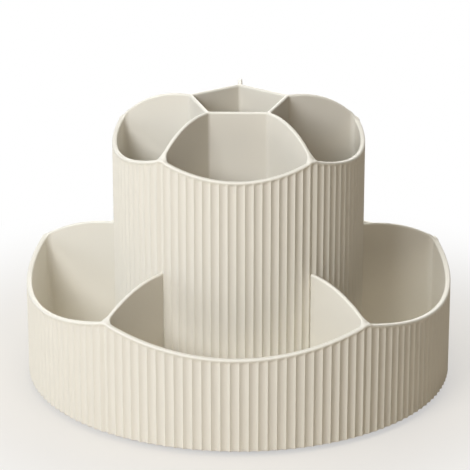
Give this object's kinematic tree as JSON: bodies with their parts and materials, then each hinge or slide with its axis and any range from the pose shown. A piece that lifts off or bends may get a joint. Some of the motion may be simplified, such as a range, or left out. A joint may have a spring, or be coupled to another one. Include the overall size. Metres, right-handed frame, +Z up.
{
  "type": "rotating desk organizer",
  "caption": "Round fluted desk organiser: a pen tower with a centre cup stands in a divided tray, and both turn together on a ball-bearing base.",
  "frame": {"origin": "on the desk top under the feet, at the spin axis", "axes": "+Z up along the spin axis, -Y towards the front compartment, +Y towards the divider opposite it"},
  "size_m": [0.22, 0.22, 0.1478],
  "materials": {
    "tray_plastic": "satin moulded cream plastic",
    "tower_plastic": "satin moulded cream plastic",
    "turntable_plastic": "matt moulded plastic",
    "base_plastic": "matt moulded plastic",
    "cage_plastic": "natural polypropylene",
    "bush_plastic": "slippery acetal",
    "zinc_steel": "zinc plated",
    "ball_steel": "polished",
    "foot_rubber": "matt"
  },
  "bodies": {
    "base": {"base_plate": "base_plastic", "foot_1": "foot_rubber", "foot_2": "foot_rubber", "foot_3": "foot_rubber", "foot_4": "foot_rubber", "foot_5": "foot_rubber", "pivot_washer": "zinc_steel", "pivot_screw": "zinc_steel"},
    "cage": {"ball_cage": "cage_plastic", "ball_1": "ball_steel", "ball_2": "ball_steel", "ball_3": "ball_steel", "ball_4": "ball_steel", "ball_5": "ball_steel", "ball_6": "ball_steel", "ball_7": "ball_steel", "ball_8": "ball_steel", "ball_9": "ball_steel", "ball_10": "ball_steel", "ball_11": "ball_steel", "ball_12": "ball_steel"},
    "organiser": {"lower_tray": "tray_plastic", "upper_tower": "tower_plastic", "turntable_plate": "turntable_plastic", "plate_screws": "zinc_steel", "tower_screws": "zinc_steel", "pivot_bush": "bush_plastic"}
  },
  "joints": [
    {"name": "turntable_spin", "type": "hinge", "parent": "base", "child": "organiser", "pos_m": [0, 0, 0.0064], "axis": [0, 0, 1], "continuous": true},
    {"name": "cage_spin", "type": "hinge", "parent": "base", "child": "cage", "pos_m": [0, 0, 0.0064], "axis": [0, 0, 1], "continuous": true}
  ],
  "couplings": [
    {"joint": "cage_spin", "follows": "turntable_spin", "ratio": 0.5}
  ]
}
